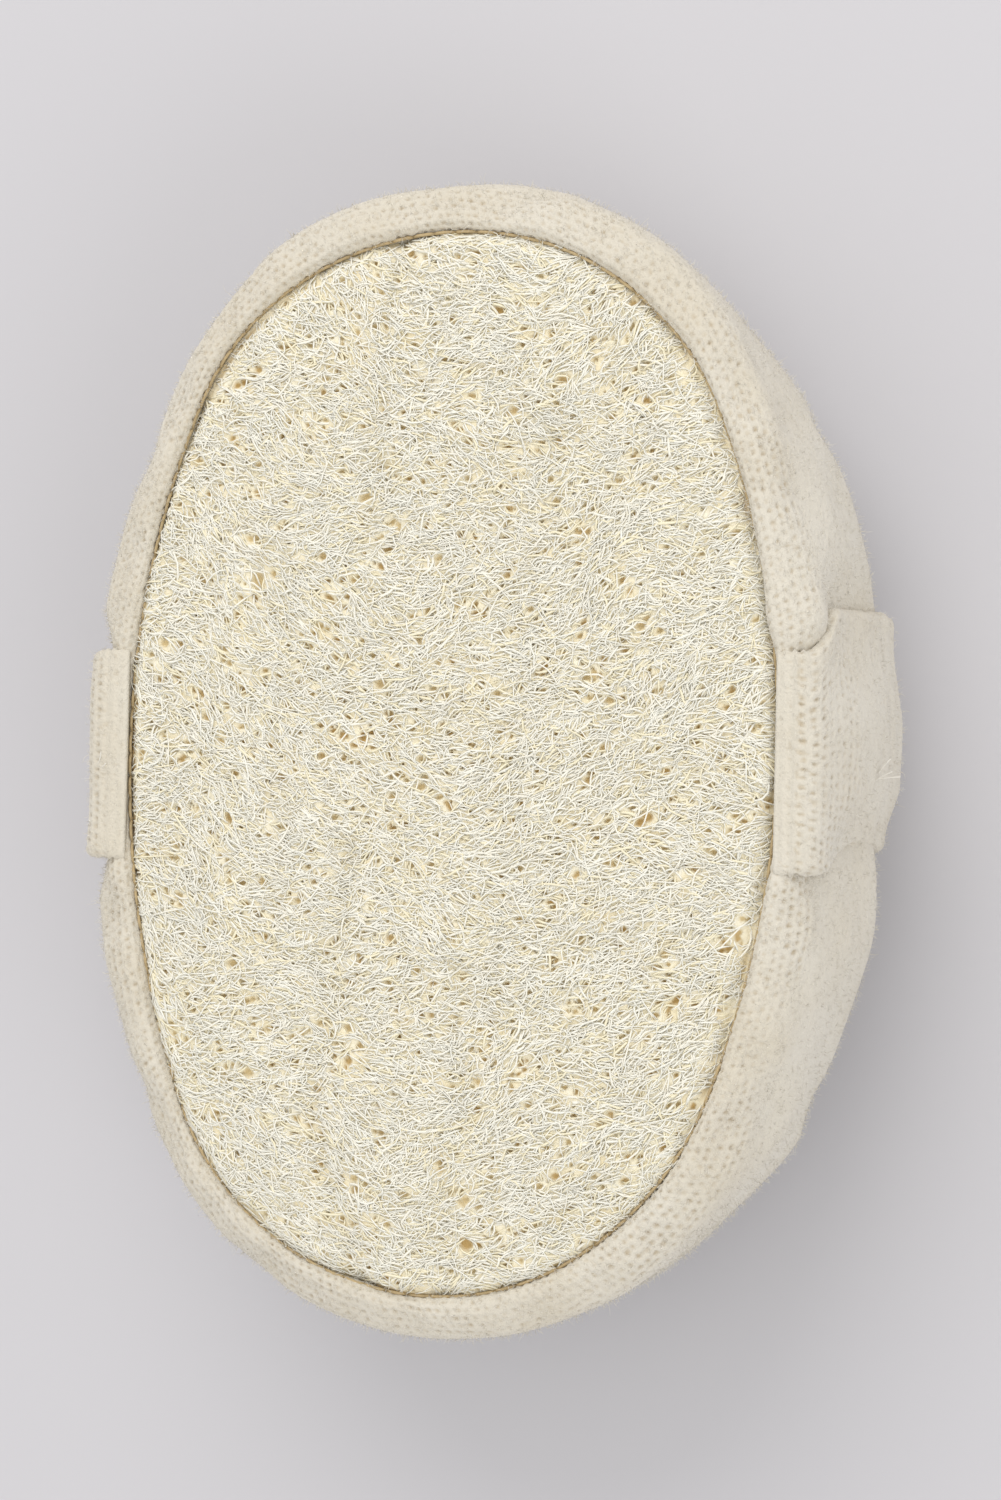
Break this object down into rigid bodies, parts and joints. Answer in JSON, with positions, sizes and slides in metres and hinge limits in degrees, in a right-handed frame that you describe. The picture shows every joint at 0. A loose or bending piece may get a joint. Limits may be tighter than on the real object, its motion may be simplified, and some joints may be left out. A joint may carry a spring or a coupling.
{
  "type": "loofah hand scrubber",
  "caption": "Oval hand-held body scrubber: natural loofah face over a foam core, terry cloth side and back, and a wide elastic terry hand strap across the back.",
  "frame": {"origin": "under the middle of the pad, on the surface that its strap rests on, with the loofah face up", "axes": "+X across the pad along the strap, +Y along the pad's length, +Z out of the loofah face"},
  "size_m": [0.124, 0.1662, 0.0561],
  "materials": {
    "natural_loofah": "matte dried fibre net",
    "polyurethane_foam": "open-cell foam",
    "terry_cloth": "soft cotton terry pile",
    "woven_elastic": "ribbed woven band",
    "cotton_thread": "twisted cotton"
  },
  "bodies": {
    "pad": {"loofah_face": "natural_loofah", "foam_core": "polyurethane_foam", "terry_side_band": "terry_cloth", "terry_back_panel": "terry_cloth", "front_seam_thread": "cotton_thread", "back_seam_thread": "cotton_thread", "band_join_thread": "cotton_thread", "strap_tack_left": "cotton_thread", "strap_tack_right": "cotton_thread"},
    "strap": {"strap_sleeve": "terry_cloth", "strap_elastic": "woven_elastic", "strap_sleeve_thread": "cotton_thread"}
  },
  "joints": [
    {"name": "strap_stretch", "type": "slide", "parent": "pad", "child": "strap", "axis": [0, 0, -1], "range_m": [-0.005, 0.018], "stiffness_N_per_m": 400, "deforming": ["strap_sleeve", "strap_elastic"]}
  ]
}
